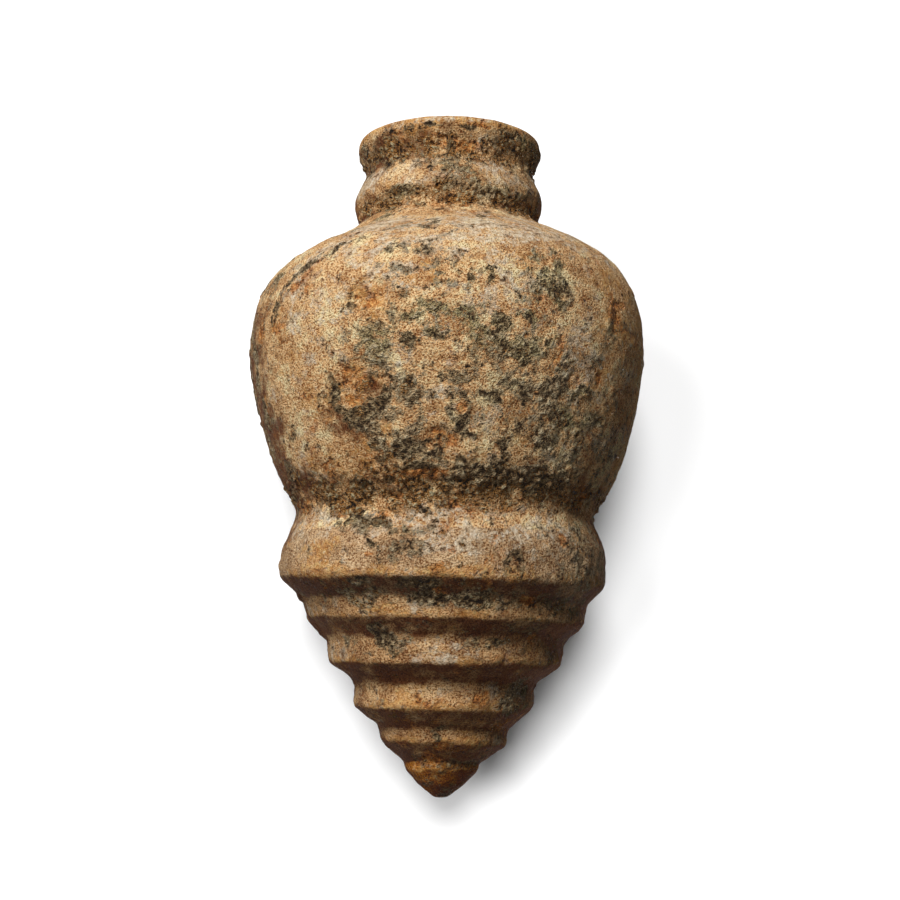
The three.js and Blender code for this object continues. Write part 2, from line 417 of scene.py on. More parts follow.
CRUST_REGIONS = (
    (102, 24, 15, 14, 0.3), (144, -62, 5, 12, 0.8), (139.5, -16, 1.8, 24, 0.7), (92, 8, 16, 22, 0.35),
    (84, 36, 14, 16, 0.4), (108, 16, 8, 14, 0.3), (94, -80, 20, 7, 0.7), (107, -3, 5, 8, 0.3),
    (114, 4, 4, 12, 0.3), (100, -6, 5, 9, 0.65), (94, -20, 4, 7, 0.65), (97, 10, 6, 9, 0.75),
    (105, 24, 7, 9, 0.75), (112, 30, 4, 7, 0.45), (96, 24, 8, 8, 0.8), (90, 20, 5, 8, 0.6),
    (94, 50, 8, 8, 0.4), (85, 32, 6, 9, 0.9), (80, 40, 6, 9, 0.85), (76, 28, 5, 10, 0.7),
    (72, 48, 6, 10, 0.5), (67, 25, 4, 14, 0.9), (68, 8, 3.5, 8, 0.9), (75, -7, 4, 9, 0.65),
    (80, -22, 4, 7, 0.6), (83, -11, 5, 5, 0.55), (85, 9, 4, 8, 0.4), (102, -60, 13, 4, 0.7),
    (88, -70, 10, 4, 0.7), (68, -64, 5, 5, 0.7), (122, -2, 3, 12, 0.3), (145, 34, 4, 10, 0.7),
    (147, 60, 4, 8, 0.9), (133, 24, 2.5, 10, 0.7), (133, -34, 2.5, 9, 0.7), (133, -5, 2.5, 5, 0.3),
    (145, -45, 4, 8, 0.6), (137.5, 8, 1.5, 8, 0.6), (148, -10, 1.4, 9, 0.6), (41.8, -20, 2.4, 26, 0.4),
    (42, 25, 2.6, 22, 0.85), (33.5, -30, 3.4, 6, 0.7), (33, 22, 2, 8, 0.6), (32.5, -46, 3, 5, 0.5),
    (52, 55, 6, 8, 0.6), (56, 34, 3, 9, 0.45), (54, -9, 3.4, 7, 0.6), (57.5, -30, 2.4, 5, 0.5),
    (57.5, 17, 2.4, 7, 0.4), (51.5, -50, 2, 3, 0.5), (22, 52, 4, 6, 0.7), (12.5, -3, 2.4, 3, 0.7),
    (110, 170, 22, 30, 0.7), (75, 120, 16, 22, 0.7), (84, -140, 14, 20, 0.6), (50, 180, 7, 22, 0.6),
    (52, -120, 5, 14, 0.5), (24, 150, 12, 14, 0.5), (138, 170, 8, 16, 0.6),
)
CLEAN_REGIONS = (
    (119, 20, 5, 14, 0.8), (106, 62, 8, 6, 0.7), (104, 44, 5, 5, 0.5), (104, -20.5, 4.2, 4.4, 1),
    (96, -44, 16, 13, 1), (84, -48, 14, 10, 1), (110, -32, 8, 9, 0.9), (74, -40, 6, 9, 0.8),
    (106, 53, 7, 6, 0.8), (117, -18, 5, 12, 0.6), (54.5, 10, 3.4, 12, 1), (51, -38, 4, 8, 0.6),
    (30, 0, 2.4, 22, 0.8), (39.6, -10, 1.2, 22, 0.6), (21.5, -4, 2.6, 16, 0.9), (12, -20, 3, 6, 0.8),
    (12, 14, 3, 6, 0.7), (5, 0, 5, 12, 1), (137, 36, 3, 5, 0.9), (137, -40, 3, 8, 0.6),
    (95, -165, 14, 20, 0.7), (108, 110, 14, 20, 0.8), (72, 175, 9, 18, 0.7), (34, -120, 10, 12, 0.7),
)
CRUST_SPOTS = (
    (142, -3, 1.6, 4, 0.5), (145.6, 5, 1.4, 3, 0.6), (111, -46, 1, 2.8, 1, 35), (107, -53, 1.6, 1.2, 1),
    (116.4, -29, 0.8, 2.4, 0.8, 35), (114.5, -35, 1, 3, 1, 35), (112.6, -42, 1, 3.6, 1, 35),
    (109.6, -50, 1.2, 3.2, 1, 35), (105.4, -54, 2.8, 1.2, 0.9), (101, -54, 2.4, 1.4, 0.9),
    (97, -53, 2, 0.9, 0.7), (88.2, -33.4, 1.5, 1.2, 0.9), (83.4, -37, 1.2, 1.1, 0.6),
    (86.5, -20, 1.2, 1.2, 0.9), (83, -17, 2, 1.6, 0.9), (81.4, -21, 1.6, 3.2, 1), (78.6, -26, 2.2, 3.4, 1),
    (82.6, -31.6, 3.6, 1, 0.9), (77.6, -53, 2.4, 2.2, 0.9), (74.2, -46, 0.9, 0.9, 0.9),
    (74, -41, 0.9, 0.9, 0.9), (72, -31, 0.8, 0.6, 0.9), (70, -62, 2.6, 1.6, 1), (71.8, -20, 2.4, 2, 1),
    (72.6, -12.6, 2.6, 2.2, 1), (72.4, -5, 2, 3.4, 1), (69.2, -9, 0.9, 4, 1), (93, -10, 2.2, 2.4, 1),
    (86.4, -2, 1.2, 1.2, 0.9), (86.2, 3, 1.4, 2.6, 0.9), (83, 8, 0.9, 3.2, 0.9), (82.6, 13, 1.2, 2.6, 0.9),
    (77.4, 4.6, 2.2, 1.4, 0.9), (94.6, -3, 0.7, 2.6, 0.9, -20), (97.4, 13.6, 1.6, 2, 0.9),
    (94.2, 12, 1, 3.6, 1, -38), (91.4, 19, 1.2, 3.8, 1, -30), (93.4, 19, 1.4, 2, 0.8),
    (106.6, 6.2, 0.8, 0.8, 1), (106, 11.6, 1.6, 1, 1), (108, 9, 0.7, 1.6, 0.9), (107, 28, 2.2, 2.4, 0.5),
    (105.4, 32, 2, 1.6, 0.5), (110.6, 30, 1, 1.4, 0.5), (99, 22, 1.4, 2.4, 0.9), (91.4, 44, 1.2, 1.6, 0.9),
    (83, 27.6, 3, 1, 1), (83.2, 22, 2.2, 1, 0.9), (85.6, 41, 1.2, 2, 0.9), (79.4, 34, 1.6, 2.2, 0.8),
    (74.4, 31, 1.6, 2, 0.8), (73, 17, 2, 1.2, 0.9), (69, 4, 2.2, 1.6, 1), (68, 14, 2.4, 5, 0.9),
    (67.4, 33, 2.4, 6, 0.9), (133, -31, 1.2, 3.2, 1), (133, -3, 1.2, 1.8, 1), (132.6, 24, 1.2, 4, 1),
    (147.8, -25, 1, 1, 1), (148, -8, 0.8, 2.4, 1), (147.4, 12, 0.8, 2.6, 0.9), (147.6, 40, 1.6, 3, 0.9),
    (63.6, -44, 1.8, 1.8, 0.6), (50.9, -50, 1.1, 1, 0.5), (52.2, -31, 0.9, 2.6, 0.4),
    (49.6, -19, 1.4, 2, 0.4), (51.6, -9, 1, 1.6, 0.3), (53.6, -23, 1.6, 2.8, 0.4),
    (50.2, -4, 0.9, 1.2, 0.4), (59, 20, 1.4, 3.6, 0.3), (50, 24, 1.8, 2.2, 0.8), (52, 25, 1, 1.4, 0.9),
    (49.4, 5, 1, 1.6, 0.9), (45.6, -28, 1.2, 2.6, 1), (45, -9, 1.4, 4, 1), (42.4, -6, 1.4, 3.4, 1),
    (42, 12, 1.6, 4, 0.9), (33.6, -27, 2.4, 2.4, 1), (35.6, -30, 1.2, 2.4, 0.9), (33.4, 22, 1.4, 2.2, 0.9),
    (36.5, -8, 1.2, 2, 0.7), (23.6, -8, 0.8, 0.6, 0.9), (14.8, 3, 0.8, 2.2, 0.9), (12.4, -5, 1, 1, 0.9),
    (93.6, -69, 5, 1.4, 0.9), (84, -68, 3, 1.4, 0.8),
)
CRUST_RINGS = (
    (84.6, -23.5, 5.6, 6.4, 0.52), (101, -28.4, 0.8, 0.9, 0.8), (107, 9, 1.9, 2.3, 0.7),
    (80.4, 3.6, 2.3, 2.1, 1), (73.8, 6.8, 1.3, 1.6, 0.9), (82.6, -9.6, 1.2, 1.3, 0.8),
    (66.2, -15, 1.8, 2.6, 1), (65.6, -28, 1.6, 2.2, 1), (61.4, -38.5, 3, 3, 0.7, 15),
    (62.6, -30, 2.4, 0.8, 0.6), (55.7, -22.5, 2.4, 2.6, 0.7), (58.4, -8.6, 2, 3.6, 0.5),
    (57.3, -32, 1.6, 2.2, 0.5), (53, -8, 1.6, 1.4, 0.5), (58.6, 14, 2, 1.6, 0.6), (49.8, 23.6, 2, 2.2, 0.9),
    (72.4, 16, 1.8, 1.8, 0.8), (77, 16, 1.4, 1.5, 0.6), (103.6, -54, 1.8, 1.4, 0.9),
    (108.4, -48.6, 1.1, 1.1, 0.9), (91.6, -16, 1.4, 1.4, 0.5), (97.6, 13.6, 1.8, 2, 0.7),
    (93.6, 25, 1.6, 1.6, 0.6), (104, 31, 2, 2.2, 0.7), (147.8, -25, 0.8, 0.9, 0.7),
    (109, 160, 2.4, 2.4, 0.9), (101, -172, 2, 2, 0.9), (92, 150, 2.6, 2.6, 0.8), (70, 140, 2, 2.2, 0.9),
    (82, -130, 2.4, 2.2, 0.9), (55, 170, 2.2, 2.4, 0.9),
)
RUST_SPOTS = (
    (105.4, -20, 3.2, 3.4, 0.2), (101.8, -20, 0.9, 2.2, 0.9), (103, -23.6, 1.4, 1, 0.7),
    (87, -23, 3, 5, 0.8), (82, -25, 1.5, 3.4, 1), (108, -46, 1, 1.6, 0.9), (99.4, -54, 1.4, 1.2, 1),
    (98, -62, 6, 2, 0.6), (84, -66, 3, 1.6, 0.8), (102, 26, 1.6, 1.6, 0.9), (97.6, 28, 0.8, 1.4, 0.9),
    (93.6, 31, 3.2, 1.2, 0.9, -12), (99.6, 14.2, 0.6, 0.5, 0.7), (87.2, 37, 1.6, 1.6, 0.9),
    (88.6, 46, 1.4, 1.2, 0.8), (103, 53, 5, 3.6, 0.5), (83.6, 25, 1, 0.8, 0.9), (94.6, 21, 1.2, 0.8, 0.7),
    (80.4, 4.4, 1.2, 1.2, 0.8), (74.2, -2, 2, 3.6, 0.8), (74.2, 15.4, 1.2, 1.6, 0.9),
    (67.8, -6, 1.2, 7, 0.95), (66, -14.6, 1, 1.6, 1), (68.6, 31, 1, 1.2, 0.9), (62, -61, 1.8, 2.6, 1),
    (62.4, -40, 1.8, 1.6, 0.9), (60, -38, 1, 1.2, 0.9), (60.2, -21, 1, 1.8, 0.9),
    (63.2, -17, 0.8, 1.8, 0.8), (62, 4.2, 0.9, 1.8, 1), (60.6, 9, 0.8, 3, 0.9), (61.2, 23, 0.8, 1, 0.9),
    (63.5, 56, 1.6, 2.4, 0.9), (55.6, 44, 1.4, 1, 0.9), (57, 72, 2.4, 1.4, 0.8), (51.4, -24, 0.7, 1.4, 0.9),
    (43.2, -2, 1.4, 2, 1), (42.8, 36, 1.4, 3.2, 0.9), (42.6, 18, 1, 1.6, 0.8), (34, 44, 1.2, 2, 0.9),
    (34.6, -27, 0.9, 1, 0.8), (21.6, 24, 1.4, 2, 0.8), (7.6, -14, 1.4, 3, 0.7), (10.6, 12, 1.2, 4, 0.8),
    (143.6, 2, 1.8, 5.6, 1), (145.4, -8, 1.2, 1.4, 0.9), (145.6, -31, 1.2, 1, 0.9), (147, -34, 1, 1.4, 0.7),
    (129, -5, 0.8, 7, 0.6), (130, 9, 0.8, 3, 0.7), (148, 22, 0.8, 5, 0.6), (98, 100, 7, 5, 0.8),
    (88, 165, 3, 4, 0.9), (77, -110, 4, 5, 0.9), (112, -120, 4, 4, 0.8),
)
SOOT_SPOTS = (
    (144, -54, 4, 8, 0.6), (103, -25.8, 1.8, 0.5, 0.9), (100.4, -23, 0.5, 2.2, 0.8),
    (101.4, -25.4, 0.8, 1, 1), (65.8, -29, 1, 3.2, 0.9), (66.6, -18, 0.8, 2.6, 1), (64.6, -14, 0.8, 1.8, 1),
    (66.6, -3, 0.9, 6, 0.7), (65.4, 18, 0.9, 7, 0.8), (66, 42, 2.2, 7, 0.5), (58.9, -22, 0.8, 1.2, 0.8),
    (63, -49, 1.4, 1.4, 0.9), (45.4, -8, 1.4, 5, 0.8), (69.2, -10, 0.6, 4.6, 0.9), (135, 62, 6, 6, 0.7),
    (70, 64, 6, 5, 0.6), (87, -17, 0.6, 0.8, 0.9), (37, 36, 2, 6, 0.8), (37.4, 15, 1.2, 5, 0.6),
    (8, 50, 5, 6, 0.6), (2, 20, 3, 6, 0.6), (143.4, 2, 0.8, 1, 0.9), (41.6, -24, 0.8, 2, 0.8),
    (43, 44, 2, 4, 0.8),
)
PALE_REGIONS = (
    (96, 14, 20, 26, 0.35), (122.5, 0, 4, 36, 1), (123, 180, 4, 40, 0.8), (136, -20, 2, 30, 0.6),
    (119, 22, 5, 16, 0.9), (118, -30, 5, 10, 0.9), (110, -42, 7, 7, 0.75), (107, -14, 3, 3, 0.6),
    (138, -60, 3.4, 10, 1), (42.4, -26, 2.2, 8, 0.7), (60, 0, 2.6, 14, 0.8), (57, 0, 5, 38, 0.45),
    (84, 8, 8, 14, 0.4), (96, 40, 10, 8, 0.4), (106, -36, 12, 12, 0.35), (114, -14, 6, 16, 0.7),
    (139.4, -20, 1.6, 20, 0.6), (104, -38, 9, 8, 0.45), (116, -4, 4, 16, 0.7), (93, -2, 3, 8, 0.4),
    (58.4, 0, 3, 24, 0.7), (55, 8, 3.4, 14, 1), (59.4, 19, 2.2, 5, 0.9), (58.8, -31, 2.6, 8, 0.9),
    (61, 0, 1.4, 2, 1), (89, 4, 6, 12, 0.45), (118, -24, 5, 12, 0.8), (112, -22, 4, 8, 0.6),
    (138.6, -30, 1.6, 8, 0.8), (138.4, 34, 2.4, 4, 0.6), (138, 14, 1.2, 6, 0.5), (31.5, 8, 2, 14, 0.45),
    (32, -52, 2.4, 4, 0.6), (22.4, 6, 1.8, 9, 0.35), (149, 0, 0.8, 12, 0.6), (79, 12, 3, 5, 0.5),
    (78, -6, 2.4, 6, 0.5), (58, 180, 3.2, 30, 0.8), (100, -120, 8, 10, 0.5),
)
OCHRE_REGIONS = (
    (85, -24, 6, 5, 0.8), (104, -20.5, 4, 4, 1), (104, 58, 8, 7, 1), (144, 4, 3, 8, 0.8),
    (106, 52, 6, 8, 0.9), (76, -38, 6, 12, 0.7), (74, -20, 3, 7, 0.7), (88, 2, 3, 10, 0.6),
    (95, -4, 1.6, 2.4, 0.9), (108, -8, 3, 4, 0.6), (109, 4, 3, 5, 0.5), (51, -42, 3, 10, 0.7),
    (48.4, 0, 1.2, 32, 0.7), (39.8, -12, 1.2, 12, 0.9), (39.4, 6, 0.9, 7, 0.7), (22, -22, 2.6, 6, 0.7),
    (6.5, -4, 2.4, 7, 0.7), (11.4, 12, 1.4, 5, 0.8), (14, -24, 1.6, 4, 0.6), (148.6, 6, 1, 12, 0.9),
    (92, 33, 4, 3, 0.6), (80, 70, 10, 7, 0.7), (98, 74, 16, 8, 0.9), (102, 62, 10, 6, 1),
    (94, -52, 8, 4, 0.5),
)
# Those at azimuths past 70 degrees either way are painted shade along the flask's left and right edges; the
# rest tint the scar near height 104, the patch near 85 and the neck's left side
SOIL_AND_EDGE_SHADE_REGIONS = (
    (84, -74, 28, 11, 1), (96, -80, 32, 12, 0.9), (55, -86, 12, 6, 0.9), (35, -86, 12, 5, 0.9),
    (15, -86, 10, 4, 0.9), (139, -84, 12, 4, 0.9), (92, 86, 34, 6, 0.25), (52, 82, 14, 9, 0.9),
    (36, 76, 9, 9, 1), (22, 76, 9, 7, 1), (139, 84, 12, 4, 0.9), (85, -24, 6.5, 6, 0.6), (79, -29, 3, 5, 1),
    (104, -20.5, 4.2, 4.4, 0.35), (76, -70, 14, 9, 1), (92, -76, 12, 6, 0.9), (144, -60, 5, 14, 0.9),
    (124, -70, 8, 8, 0.4),
)
GRIT_REGIONS = (
    (144, 0, 4, 30, 0.75), (142, -50, 4, 14, 0.6), (129, 0, 2, 30, 0.7), (62, 5, 3, 40, 0.8),
    (85, -24, 6, 5, 0.8), (41.5, 10, 2.4, 40, 0.6), (34, 30, 2, 14, 0.5), (78, 34, 6, 12, 0.4),
    (88, 0, 7, 12, 0.35),
)
GREEN_REGIONS = (
    (98, 12, 8, 14, 0.9), (92, -20, 4, 6, 0.6), (82, -54, 6, 4, 0.5), (60, -37, 3, 4, 0.8),
    (55.7, -22.5, 1.6, 1.6, 1), (34, -13, 1, 1.4, 1), (112, 28, 6, 10, 0.5), (78, 30, 6, 8, 0.5),
)


def edge_and_hollow():
    """How sharply the outline bends outwards and inwards at each row, from 0 to 1, spread over about a
    millimetre: the turn of the row normals per millimetre, blurred by a bell curve."""
    length = np.concatenate(([0], np.cumsum(np.hypot(*np.diff(ROWS, axis=0).T))))
    angle = np.unwrap(np.arctan2(ROW_NORMALS[:, 1], ROW_NORMALS[:, 0]))
    bend = np.gradient(angle, length)
    blur = 0.8  # in millimetres
    weight = np.exp(-((length[:, None] - length[None]) / blur) ** 2)
    bend = (weight * bend[None]).sum(1) / weight.sum(1)
    full_bend = 0.55  # turn in radians per millimetre that counts as a sharp edge or hollow
    edge = np.clip(bend / full_bend, 0, 1)
    hollow = np.clip(-bend / full_bend, 0, 1)
    return edge[:, None] * OUTSIDE, hollow[:, None] * OUTSIDE


EDGE, HOLLOW = edge_and_hollow()
FACING_TIP = smooth_step(0.25, 0.8, -ROW_NORMALS[:, 1:]) * OUTSIDE  # the undersides of the rings


# Where each layer lies: fields from about 0 to 1, thin or absent below one half

def crease(height, spread):
    """A band round the vessel: 1 at its height, falling off as a bell curve whose height wanders."""
    wander = 0.8  # in millimetres
    centre = height + wander * field(f"crease at {height}", 9.0, layers=3)
    return np.exp(-((HEIGHT - centre) / spread) ** 2) * OUTSIDE


WAIST_CREASE = crease(waist_height + 3.6, 3.4)
NECK_CREASE = crease(neck_seam + 0.8, 2.2)
COLLAR_CREASE = crease(collar_seam + 1.0, 3.2)
GRITTY = np.clip(WAIST_CREASE + NECK_CREASE + 0.7 * COLLAR_CREASE, 0, 1)
GRIT_GRAINS = grains("grit", 1.7, 0.75, smooth_step(0.15, 0.7, GRITTY))


def blotches(name, size, middle, spread, layers=4, fade=0.75):
    """A layer's field before its places are added: random, with that middle and spread."""
    return middle + spread * field(name, size, layers, fade)


def layer_fields():
    """The eight named fields that the finishes read: crumbs of grey crust, orange rust, dark soot with
    painted shade in the hollows and creases, coarse grit, pale bloom, warm ochre, a film of soil with
    painted shade on the ring undersides, in the hollows and along the left and right edges, and where the
    crust is green."""
    rim_top = smooth_step(147.4, 148.4, HEIGHT)
    foot = smooth_step(41, 38, HEIGHT)
    rust_spots = patches(RUST_SPOTS, edge=0.4)
    dark_spots = 0.46 * patches(CRUST_SPOTS, edge=0.35) + 0.50 * rings(CRUST_RINGS)

    crust = blotches("crust blotches", 7.0, 0.14, 0.12)
    crust += 0.52 * patches(CRUST_REGIONS, edge=0.7) - 0.28 * patches(CLEAN_REGIONS, edge=0.6)
    crust += 0.9 * dark_spots - 0.22 * rust_spots
    crust += 0.06 * GRITTY - 0.4 * rim_top - 0.14 * FACING_TIP * foot

    grit = blotches("grit blotches", 4.0, 0.08, 0.09)
    grit += 0.37 * GRITTY + 0.28 * patches(GRIT_REGIONS, edge=0.6)

    rust = blotches("rust blotches", 5.0, 0.20, 0.10)
    rust += 0.52 * rust_spots + 0.08 * GRITTY + 0.24 * GRIT_GRAINS

    soot = blotches("soot blotches", 5.0, 0.07, 0.06)
    # Painted shade: soot in the hollows and in the creases of the waist, neck and collar darkens them; its
    # spots and dark rings are dark deposits
    soot += 0.42 * patches(SOOT_SPOTS) + 0.04 * NECK_CREASE + 0.04 * COLLAR_CREASE + 0.24 * HOLLOW
    soot += 0.10 * smooth_step(0.2, 0.6, crust) + 0.82 * dark_spots + 0.12 * GRITTY - 0.3 * GRIT_GRAINS

    pale = blotches("pale bloom", 6.0, 0.22, 0.12)
    pale = pale + 0.44 * patches(PALE_REGIONS, edge=0.8)
    pale += 0.2 * GRIT_GRAINS - 0.1 * FACING_TIP

    ochre = blotches("ochre blotches", 7.0, 0.2, 0.14, fade=0.7)
    ochre = ochre + 0.5 * EDGE
    ochre += 0.35 * patches(OCHRE_REGIONS, edge=0.6)

    # Painted shade: this film darkens the undersides of the rings, the hollows and its regions along the
    # left and right edges; elsewhere it is a film of soil, and it darkens the whole inside
    soil = 0.68 * FACING_TIP + 0.45 * HOLLOW + blotches("soil", 5.0, 0, 0.12, layers=3, fade=0.55)
    soil += 0.7 * patches(SOIL_AND_EDGE_SHADE_REGIONS, edge=0.8)
    soil += 0.8 * (1 - OUTSIDE)

    green = blotches("green cast", 9.0, 0.3, 0.2, layers=3, fade=0.55)
    green = green + 0.6 * patches(GREEN_REGIONS, edge=0.6)

    return {
        "crust": crust, "rust": rust, "soot": soot, "grit": grit,
        "pale": pale, "ochre": ochre, "soil": soil, "green": green,
    }


FIELDS = layer_fields()


# Dents and swellings, ovals as above whose strength is a rise in millimetres, and last how softly it fades

DENTS = (
    (104, -20.5, 3.8, 4.4, -0.9, 10, 0.16), (102.2, -22, 1.8, 2.6, -0.5, 0.4),
    (84.6, -23.5, 5.4, 6, -0.4, 0.2), (42.4, -82, 0.9, 2, 0.6, 0.6), (36.4, -84, 1.6, 3, 0.5, 0.6),
    (34.6, -82, 0.8, 3, 0.4, 0.6), (72, -8, 3.4, 5, 0.25, 0.4), (74.5, -1, 2.2, 4, -0.3, 0.3),
    (55.7, -22.5, 1.4, 1.4, -0.2, 0.4), (114, -38, 1.6, 6, 0.25, 35, 0.5), (52, -36, 3, 9, -0.12, 0.8),
)
WIPED = ((86, 2, 9, 15, 1),)  # where the marks of wiping show most


def relief():
    """How far the clay stands out from the turned outline, in millimetres."""
    crust, rust, soot = (
        smooth_step(low, high, FIELDS[label])
        for label, low, high in (("crust", 0.44, 0.58), ("rust", 0.46, 0.6), ("soot", 0.46, 0.6))
    )
    rise = 0.16 * field("hand of the potter", 24.0, layers=2) + 0.05 * field("lumps", 5.0, layers=2)
    for *place, soft in DENTS:
        for rows, away, depth in ovals((place,), 1.9):
            rise[rows] += depth * smooth_step(1 + soft, 1 - soft, away)

    stretched = SKIN * np.array((0.28, 1.6, 0.28), np.float32)  # so that the marks run round the vessel
    wiping = field("wiping marks", 2.2, layers=3, points=stretched)
    turned_foot = smooth_step(46, 42, HEIGHT)
    rise += (0.018 + 0.05 * patches(WIPED, edge=0.7) + 0.03 * turned_foot) * wiping
    rise += 0.028 * field("sand", 1.5, layers=2, fade=0.8) * (1 - 0.6 * FACING_TIP)

    rough = field("crust roughness", 1.7, layers=2, fade=0.8)
    nodules = grains("crust nodules", 1.7, 0.7, crust)
    rise += crust * (0.06 + 0.10 * rough) + 0.24 * nodules + 0.15 * rings(CRUST_RINGS)
    rise += rust * (-0.12 + 0.10 * rough) - 0.10 * soot
    strays = grains("stray grains", 3.4, 0.12, OUTSIDE * np.ones_like(HEIGHT))
    rise += 0.58 * GRIT_GRAINS + 0.25 * strays - 0.22 * GRITTY
    edge_wave = field("worn edges", 4.0, layers=3, fade=0.7)
    rise += EDGE * np.minimum(0.12 * edge_wave, 0.1)

    rim = smooth_step(147.2, 148.6, HEIGHT)
    rise *= 1 - 0.8 * rim
    return rise * OUTSIDE + (0.25 * field("inside", 9.0, layers=4)) * (1 - OUTSIDE)


# The rings were laid a little askew. At each height, the right side sits lower by the lean and the side
# towards the viewer higher by the nod, both in degrees, and the ring lies to the right by the sway

ASKEW = (  # height, lean, nod, sway
    (0, 0.6, 5.0, -0.3), (7, 1.0, 7.0, -0.15), (12, 2.0, 4.5, 0), (19, 0, 2.0, -0.2), (29, 0, 1.8, 0),
    (39, 1.2, 1.4, 0.2), (47, 1.3, 0.4, -0.6), (56, 0, 0, -0.2), (66, 0.4, 0, 0.2), (97, -0.3, 0, 0),
    (118, -1.4, 0, 0), (125, -2.0, 0, 0), (132, -0.8, 0, 0), (150, -0.3, -1.0, 0),
)


def shaped_skin():
    """Skin points in the vessel's frame: the turned outline, moved out along its normal by the relief, and
    then along the axis by the lean and the nod of its height, and sideways by its sway."""
    lift = relief()[..., None]
    radial, axial = ROW_NORMALS[:, None, :1], ROW_NORMALS[:, None, 1:]
    around = np.stack((np.sin(AZIMUTH), np.zeros_like(AZIMUTH), np.cos(AZIMUTH)), axis=-1)
    points = SKIN + lift * (around * radial + np.array((0, 1, 0)) * axial)
    heights, *rest = zip(*ASKEW)
    lean, nod, sway = (np.interp(HEIGHT, heights, values) for values in rest)
    points[..., 1] += points[..., 2] * np.tan(np.radians(nod)) - points[..., 0] * np.tan(np.radians(lean))
    points[..., 0] += sway
    return points


def skin_normals(points):
    """Unit normals from the steps to the neighbours along the rows and the columns."""
    around = np.roll(points, -1, axis=1) - np.roll(points, 1, axis=1)
    along = np.gradient(points, axis=0)
    normals = np.cross(around, along)
    return normals / np.linalg.norm(normals, axis=-1, keepdims=True)


def to_world(points, offset=True):
    """Points in millimetres, or directions, from the vessel's frame into the model's, points in metres."""
    turned = points @ np.array((ACROSS, AXIS, TOWARDS))
    return turned * MM + np.array(TIP) if offset else turned


POINTS = shaped_skin()
NORMALS = skin_normals(POINTS)


# Solids: each section is a closed skin of its own, cut out of the whole along its seams

def axis_point(height):
    """The point on the axis at that height."""
    return np.array((0.0, height, 0.0))


def seam_strip(start, end):
    """Rows between two rings of points, or a ring and a point on the axis, evenly along straight lines."""
    shares = np.linspace(0, 1, SEAM_STEPS + 1)[1:-1, None, None]
    return start * (1 - shares) + end * shares


def section_rows(index):
    """Rows of one section in order round its profile: outside, upper seam, inside and lower seam. Gives
    the points, which skin row each one is, or -1 in a seam, and the axis points that close its ends."""
    last = len(NAMES) - 1
    outer = np.arange(MARKS[index], MARKS[index + 1] + 1)
    inner_mark = len(MARKS) - 1  # of the hollow's floor
    blocks, numbers = [], []

    def add(points, rows):
        blocks.append(points)
        numbers.append(rows)

    def add_skin(rows):
        add(POINTS[rows], rows)

    def add_seam(start, end):
        strip = seam_strip(start, end)
        add(strip, np.full(len(strip), -1))

    def inner_row(seam):
        return MARKS[inner_mark - 1 - (seam - SOLID_SEAMS)]

    start_pole = end_pole = None
    if index == 0:
        start_pole = POINTS[0].mean(0)
    elif index <= SOLID_SEAMS:
        start_pole = axis_point(SEAMS[index - 1][1])
        add_seam(start_pole, POINTS[outer[0]])
    if index == last:
        add_skin(np.arange(outer[0], inner_row(last - 1) + 1))
    else:
        add_skin(outer)
        if index < SOLID_SEAMS:
            end_pole = axis_point(SEAMS[index][1])
            add_seam(POINTS[outer[-1]], end_pole)
        else:
            top = inner_row(index)
            add_seam(POINTS[outer[-1]], POINTS[top])
            if index == SOLID_SEAMS:
                add_skin(np.arange(top, len(POINTS)))
                end_pole = POINTS[-1].mean(0)
            else:
                add_skin(np.arange(top, inner_row(index - 1) + 1))
    if index > SOLID_SEAMS:
        add_seam(POINTS[inner_row(index - 1)], POINTS[outer[0]])
    return np.concatenate(blocks), np.concatenate(numbers), start_pole, end_pole


def face_table(count, closed, start_pole, end_pole):
    """Corner numbers of the quads between neighbouring rows, and of the fans round the end points."""
    cols = np.arange(COLUMNS)
    after = (cols + 1) % COLUMNS
    lower = np.arange(count if closed else count - 1)[:, None]
    upper = (lower + 1) % count
    lower, upper = lower * COLUMNS, upper * COLUMNS
    quads = np.stack((lower + cols, lower + after, upper + after, upper + cols), axis=-1).reshape(-1, 4)
    fans = []
    pole = count * COLUMNS
    if start_pole is not None:
        fans.append(np.stack((np.full(COLUMNS, pole), after, cols), axis=-1))
        pole += 1
    if end_pole is not None:
        top = (count - 1) * COLUMNS
        fans.append(np.stack((np.full(COLUMNS, pole), top + cols, top + after), axis=-1))
    return quads, np.concatenate(fans) if fans else np.zeros((0, 3), int)


def face_normals(points, faces):
    """Unit normals of faces, from the cross product of their diagonals, or of two sides of a triangle."""
    a, b, c = (points[faces[:, k]] for k in (0, 1, 2))
    last = points[faces[:, -1]]
    normals = np.cross(c - a, last - b) if faces.shape[1] == 4 else np.cross(b - a, c - a)
    return normals / np.maximum(np.linalg.norm(normals, axis=-1, keepdims=True), 1e-12)


def corner_normals(points, quads, fans, numbers, closed):
    """A normal for each corner of a face. Between two skin rows it is the whole skin's, so that sections
    shade as one across their seams, and on seam faces and fans it is the face's own."""
    is_skin = numbers >= 0
    between_skin = is_skin & np.roll(is_skin, -1)
    smooth = np.repeat(between_skin if closed else between_skin[:-1], COLUMNS)
    skin_normal = np.zeros((len(numbers), COLUMNS, 3))
    skin_normal[is_skin] = NORMALS[numbers[is_skin]]
    quad_corners = np.repeat(face_normals(points, quads)[:, None], 4, axis=1)
    quad_corners[smooth] = skin_normal.reshape(-1, 3)[quads[smooth]]
    fan_corners = np.repeat(face_normals(points, fans)[:, None], 3, axis=1)
    return np.concatenate((quad_corners.reshape(-1, 3), fan_corners.reshape(-1, 3)))


